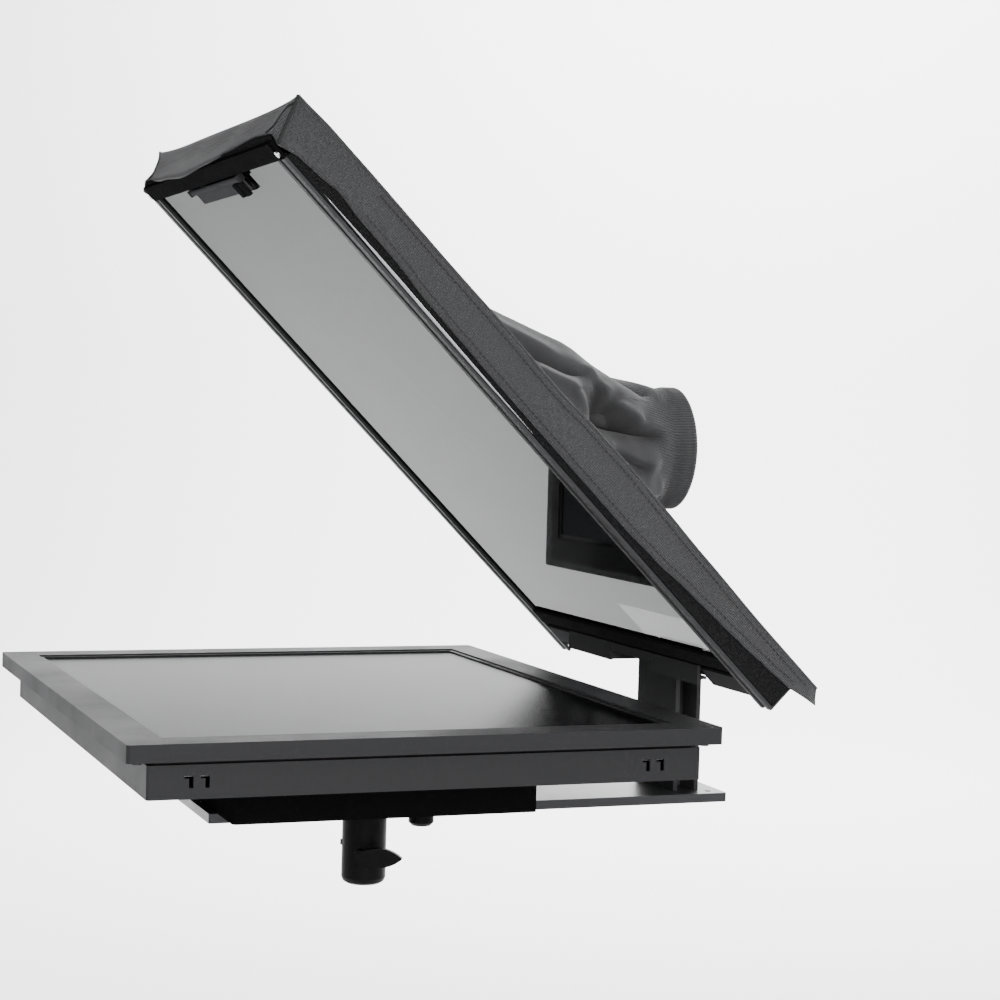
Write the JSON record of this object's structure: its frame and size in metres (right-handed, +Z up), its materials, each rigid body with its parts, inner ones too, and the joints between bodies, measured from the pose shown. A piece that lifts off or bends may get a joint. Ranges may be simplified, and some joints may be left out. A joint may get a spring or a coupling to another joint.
{
  "type": "studio teleprompter",
  "caption": "Free-standing studio teleprompter: face-up monitor on a base plate, tilting beam-splitter glass with a fabric hood and lens shroud, and a stand socket.",
  "frame": {"origin": "mouth of the stand socket, on its axis", "axes": "+Z up along the stand pin, +Y towards the video camera, +X to the reader's right"},
  "size_m": [0.43, 0.4425, 0.4832],
  "materials": {
    "black_cast": "black powder coat",
    "plate_paint": "satin",
    "black_paint": "fine texture black",
    "bezel_paint": "satin",
    "steel_dark": "black oxide",
    "steel": "zinc",
    "rubber": "matt",
    "screen": "matt",
    "board": "satin",
    "white_plastic": "matt",
    "plastic_black": "satin",
    "mirror_glass": "beam-splitter coating",
    "hook_tape": "fuzzy",
    "hood_cloth": "coarse weave",
    "shroud_cloth": "soft knit"
  },
  "bodies": {
    "stand_base": {"stand_socket": "black_cast", "socket_bolt": "steel_dark", "socket_set_screw": "steel_dark", "base_plate": "plate_paint", "upright": "black_cast", "upright_screws": "steel_dark", "pivot_spacers": "steel"},
    "clamp_lever": {"clamp_lever": "plastic_black", "clamp_screw": "steel"},
    "monitor": {"monitor_bezel": "bezel_paint", "bezel_screws": "steel_dark", "screen_gasket": "rubber", "lcd_panel": "screen", "backlight_unit": "white_plastic", "monitor_housing": "black_paint", "rear_box": "black_paint", "rear_box_screws": "steel_dark", "mounting_block": "steel", "guide_pin": "steel", "driver_board": "board", "power_board": "board", "power_inlet": "plastic_black", "video_socket": "steel", "button_board": "board"},
    "lock_knob": {"lock_knob": "plastic_black", "lock_stud": "steel"},
    "glass_frame": {"hinge_bracket": "black_paint", "pivot_bolt": "steel", "pivot_nut": "steel", "pivot_washers": "steel", "glass_trough": "black_paint", "beam_splitter_glass": "mirror_glass", "rail_left": "black_paint", "rail_right": "black_paint", "top_rail": "black_paint", "frame_screws": "steel", "trough_screws": "steel", "velcro_lower": "hook_tape", "velcro_left": "hook_tape", "velcro_right": "hook_tape", "velcro_top": "hook_tape", "latch_ears": "steel_dark", "latch_pin": "steel", "hood": "hood_cloth", "lens_shroud": "shroud_cloth", "shroud_band": "hook_tape"},
    "glass_latch": {"latch_plate": "steel_dark", "latch_pads": "hook_tape"},
    "button_power": {"button_power": "plastic_black"},
    "button_menu": {"button_menu": "plastic_black"},
    "button_up": {"button_up": "plastic_black"},
    "button_down": {"button_down": "plastic_black"},
    "button_source": {"button_source": "plastic_black"}
  },
  "joints": [
    {"name": "clamp_turn", "type": "hinge", "parent": "stand_base", "child": "clamp_lever", "pos_m": [0, 0, 0.0205], "axis": [0.9135, -0.4067, 0], "continuous": true},
    {"name": "monitor_slide", "type": "slide", "parent": "stand_base", "child": "monitor", "axis": [0, 1, 0], "range_m": [-0.012, 0.03]},
    {"name": "knob_turn", "type": "hinge", "parent": "monitor", "child": "lock_knob", "pos_m": [0, 0.039, 0.045], "axis": [0, 0, 1], "continuous": true},
    {"name": "glass_tilt", "type": "hinge", "parent": "stand_base", "child": "glass_frame", "pos_m": [0, 0.21625, 0.147], "axis": [1, 0, 0], "range_deg": [-15, 30]},
    {"name": "latch_turn", "type": "hinge", "parent": "glass_frame", "child": "glass_latch", "pos_m": [0, -0.10859, 0.44505], "axis": [-1, 0, 0], "range_deg": [0, 85]},
    {"name": "press_power", "type": "slide", "parent": "monitor", "child": "button_power", "axis": [1, 0, 0], "range_m": [0, 0.001], "stiffness_N_per_m": 600, "springref_m": -0.0005},
    {"name": "press_menu", "type": "slide", "parent": "monitor", "child": "button_menu", "axis": [1, 0, 0], "range_m": [0, 0.001], "stiffness_N_per_m": 600, "springref_m": -0.0005},
    {"name": "press_up", "type": "slide", "parent": "monitor", "child": "button_up", "axis": [1, 0, 0], "range_m": [0, 0.001], "stiffness_N_per_m": 600, "springref_m": -0.0005},
    {"name": "press_down", "type": "slide", "parent": "monitor", "child": "button_down", "axis": [1, 0, 0], "range_m": [0, 0.001], "stiffness_N_per_m": 600, "springref_m": -0.0005},
    {"name": "press_source", "type": "slide", "parent": "monitor", "child": "button_source", "axis": [1, 0, 0], "range_m": [0, 0.001], "stiffness_N_per_m": 600, "springref_m": -0.0005}
  ]
}
